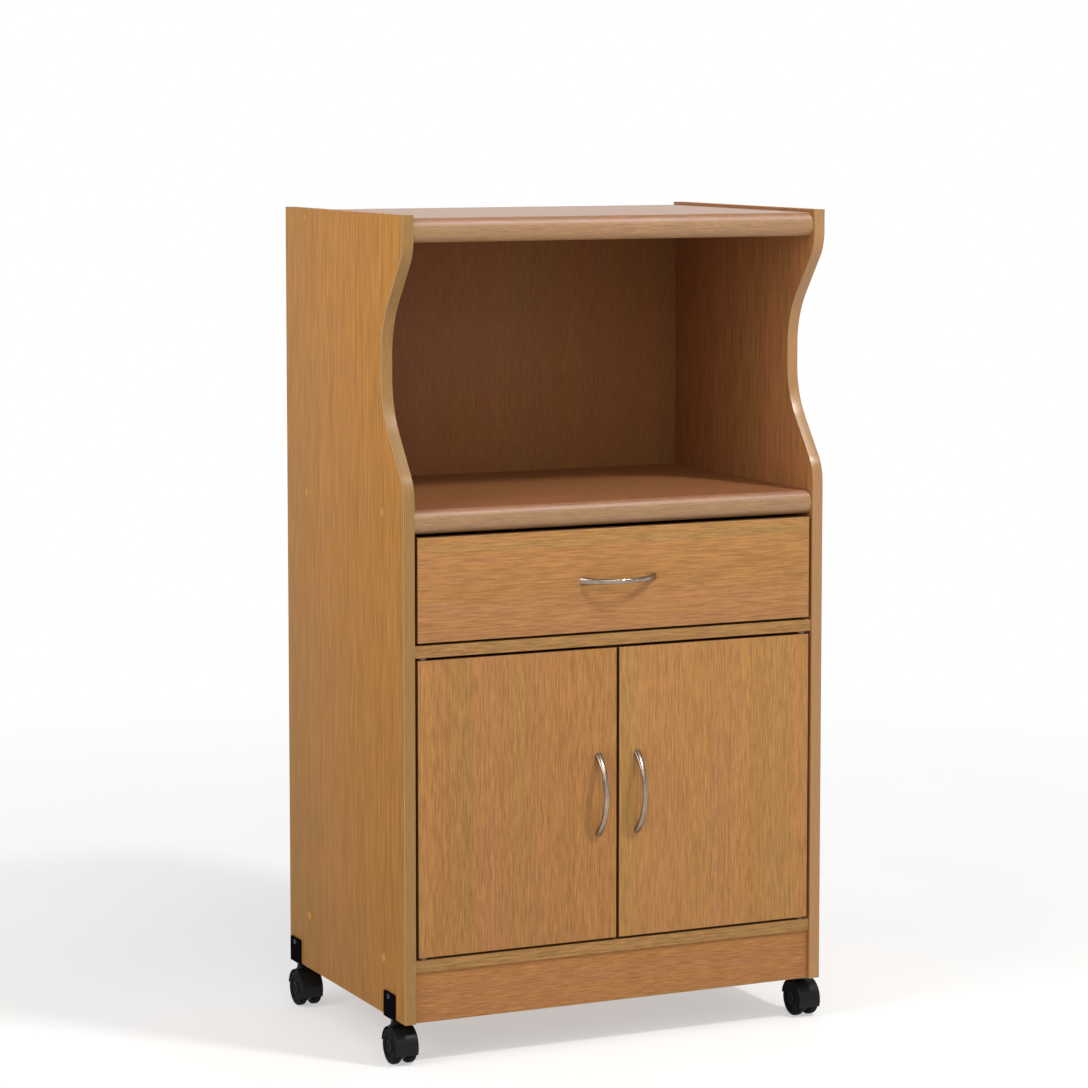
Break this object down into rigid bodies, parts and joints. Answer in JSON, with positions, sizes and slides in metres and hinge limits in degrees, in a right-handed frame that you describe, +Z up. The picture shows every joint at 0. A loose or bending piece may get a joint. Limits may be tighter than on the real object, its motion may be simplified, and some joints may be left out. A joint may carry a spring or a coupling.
{
  "type": "microwave cart",
  "caption": "Rolling microwave cart in beech-pattern board: open bay with S-curved side panels, a drawer, a two-door cupboard, bow handles and twin-wheel casters.",
  "frame": {"origin": "on the floor, under the middle of the bounding box", "axes": "+Z up, the front with drawer and doors faces -Y, +X to the right seen from the front"},
  "size_m": [0.6002, 0.42, 1.056],
  "materials": {
    "laminate_side": "satin",
    "laminate_front": "satin",
    "laminate_nose": "satin",
    "laminate_thin": "satin",
    "steel": "zinc plated",
    "satin_nickel": "satin",
    "white_metal": "powder coated",
    "white_plastic": "matt",
    "brown_plastic": "matt",
    "cover_plastic": "matt",
    "black_metal": "satin",
    "black_plastic": "gloss",
    "wheel_plastic": "semi-gloss",
    "dowel_wood": "raw"
  },
  "bodies": {
    "cabinet": {"left_side_panel": "laminate_side", "right_side_panel": "laminate_side", "front_edgings": "laminate_side", "top_board": "laminate_nose", "microwave_shelf": "laminate_nose", "divider_board": "laminate_front", "bottom_board": "laminate_front", "front_plinth": "laminate_front", "rear_plinth": "laminate_front", "upper_back_panel": "laminate_thin", "lower_back_panel": "laminate_thin", "cupboard_shelf": "laminate_front", "shelf_pins": "steel", "left_cabinet_runner": "white_metal", "right_cabinet_runner": "white_metal", "small_wood_screws": "steel", "pivot_bushes": "brown_plastic", "magnetic_catch": "brown_plastic", "caster_plates": "black_metal", "caster_stems": "steel", "assembly_screws": "steel", "screw_covers": "cover_plastic", "wood_dowels": "dowel_wood"},
    "drawer": {"drawer_front": "laminate_front", "drawer_left_side": "laminate_thin", "drawer_right_side": "laminate_thin", "drawer_back": "laminate_thin", "drawer_bottom": "laminate_thin", "drawer_handle": "satin_nickel", "drawer_handle_screws": "steel", "left_drawer_runner": "white_metal", "right_drawer_runner": "white_metal", "drawer_screws": "steel", "drawer_dowels": "dowel_wood"},
    "left_door": {"left_door": "laminate_front", "left_door_handle": "satin_nickel", "left_door_screws": "steel", "left_door_pins": "steel", "left_strike_plate": "steel"},
    "right_door": {"right_door": "laminate_front", "right_door_handle": "satin_nickel", "right_door_screws": "steel", "right_door_pins": "steel", "right_strike_plate": "steel"},
    "left_front_roller": {"left_front_roller": "white_plastic"},
    "right_front_roller": {"right_front_roller": "white_plastic"},
    "left_rear_roller": {"left_rear_roller": "white_plastic"},
    "right_rear_roller": {"right_rear_roller": "white_plastic"},
    "caster_front_left": {"hood_front_left": "black_plastic"},
    "wheel_pair_front_left": {"wheels_front_left": "wheel_plastic", "wheel_axle_front_left": "steel"},
    "caster_front_right": {"hood_front_right": "black_plastic"},
    "wheel_pair_front_right": {"wheels_front_right": "wheel_plastic", "wheel_axle_front_right": "steel"},
    "caster_rear_left": {"hood_rear_left": "black_plastic"},
    "wheel_pair_rear_left": {"wheels_rear_left": "wheel_plastic", "wheel_axle_rear_left": "steel"},
    "caster_rear_right": {"hood_rear_right": "black_plastic"},
    "wheel_pair_rear_right": {"wheels_rear_right": "wheel_plastic", "wheel_axle_rear_right": "steel"}
  },
  "joints": [
    {"name": "drawer_slide", "type": "slide", "parent": "cabinet", "child": "drawer", "axis": [0, -1, 0], "range_m": [0, 0.25]},
    {"name": "left_door_hinge", "type": "hinge", "parent": "cabinet", "child": "left_door", "pos_m": [-0.2655, -0.1765, 0.324], "axis": [0, 0, -1], "range_deg": [0, 105]},
    {"name": "right_door_hinge", "type": "hinge", "parent": "cabinet", "child": "right_door", "pos_m": [0.2655, -0.1765, 0.324], "axis": [0, 0, 1], "range_deg": [0, 105]},
    {"name": "left_front_roller_turn", "type": "hinge", "parent": "cabinet", "child": "left_front_roller", "pos_m": [-0.2712, -0.157, 0.5553], "axis": [1, 0, 0], "range_deg": [0, 1600]},
    {"name": "left_rear_roller_turn", "type": "hinge", "parent": "drawer", "child": "left_rear_roller", "pos_m": [-0.2712, 0.167, 0.5505], "axis": [1, 0, 0], "range_deg": [0, 1600]},
    {"name": "right_front_roller_turn", "type": "hinge", "parent": "cabinet", "child": "right_front_roller", "pos_m": [0.2712, -0.157, 0.5553], "axis": [1, 0, 0], "range_deg": [0, 1600]},
    {"name": "right_rear_roller_turn", "type": "hinge", "parent": "drawer", "child": "right_rear_roller", "pos_m": [0.2712, 0.167, 0.5505], "axis": [1, 0, 0], "range_deg": [0, 1600]},
    {"name": "caster_front_left_swivel", "type": "hinge", "parent": "cabinet", "child": "caster_front_left", "pos_m": [-0.285, -0.137, 0.044], "axis": [0, 0, 1], "continuous": true},
    {"name": "wheel_pair_front_left_roll", "type": "hinge", "parent": "caster_front_left", "child": "wheel_pair_front_left", "pos_m": [-0.285, -0.15, 0.023], "axis": [1, 0, 0], "continuous": true},
    {"name": "caster_front_right_swivel", "type": "hinge", "parent": "cabinet", "child": "caster_front_right", "pos_m": [0.285, -0.137, 0.044], "axis": [0, 0, 1], "continuous": true},
    {"name": "wheel_pair_front_right_roll", "type": "hinge", "parent": "caster_front_right", "child": "wheel_pair_front_right", "pos_m": [0.285, -0.15, 0.023], "axis": [1, 0, 0], "continuous": true},
    {"name": "caster_rear_left_swivel", "type": "hinge", "parent": "cabinet", "child": "caster_rear_left", "pos_m": [-0.285, 0.187, 0.044], "axis": [0, 0, 1], "continuous": true},
    {"name": "wheel_pair_rear_left_roll", "type": "hinge", "parent": "caster_rear_left", "child": "wheel_pair_rear_left", "pos_m": [-0.285, 0.174, 0.023], "axis": [1, 0, 0], "continuous": true},
    {"name": "caster_rear_right_swivel", "type": "hinge", "parent": "cabinet", "child": "caster_rear_right", "pos_m": [0.285, 0.187, 0.044], "axis": [0, 0, 1], "continuous": true},
    {"name": "wheel_pair_rear_right_roll", "type": "hinge", "parent": "caster_rear_right", "child": "wheel_pair_rear_right", "pos_m": [0.285, 0.174, 0.023], "axis": [1, 0, 0], "continuous": true}
  ],
  "couplings": [
    {"joint": "left_front_roller_turn", "follows": "drawer_slide", "rad_per_m": 111.11},
    {"joint": "left_rear_roller_turn", "follows": "drawer_slide", "rad_per_m": 111.11},
    {"joint": "right_front_roller_turn", "follows": "drawer_slide", "rad_per_m": 111.11},
    {"joint": "right_rear_roller_turn", "follows": "drawer_slide", "rad_per_m": 111.11}
  ]
}
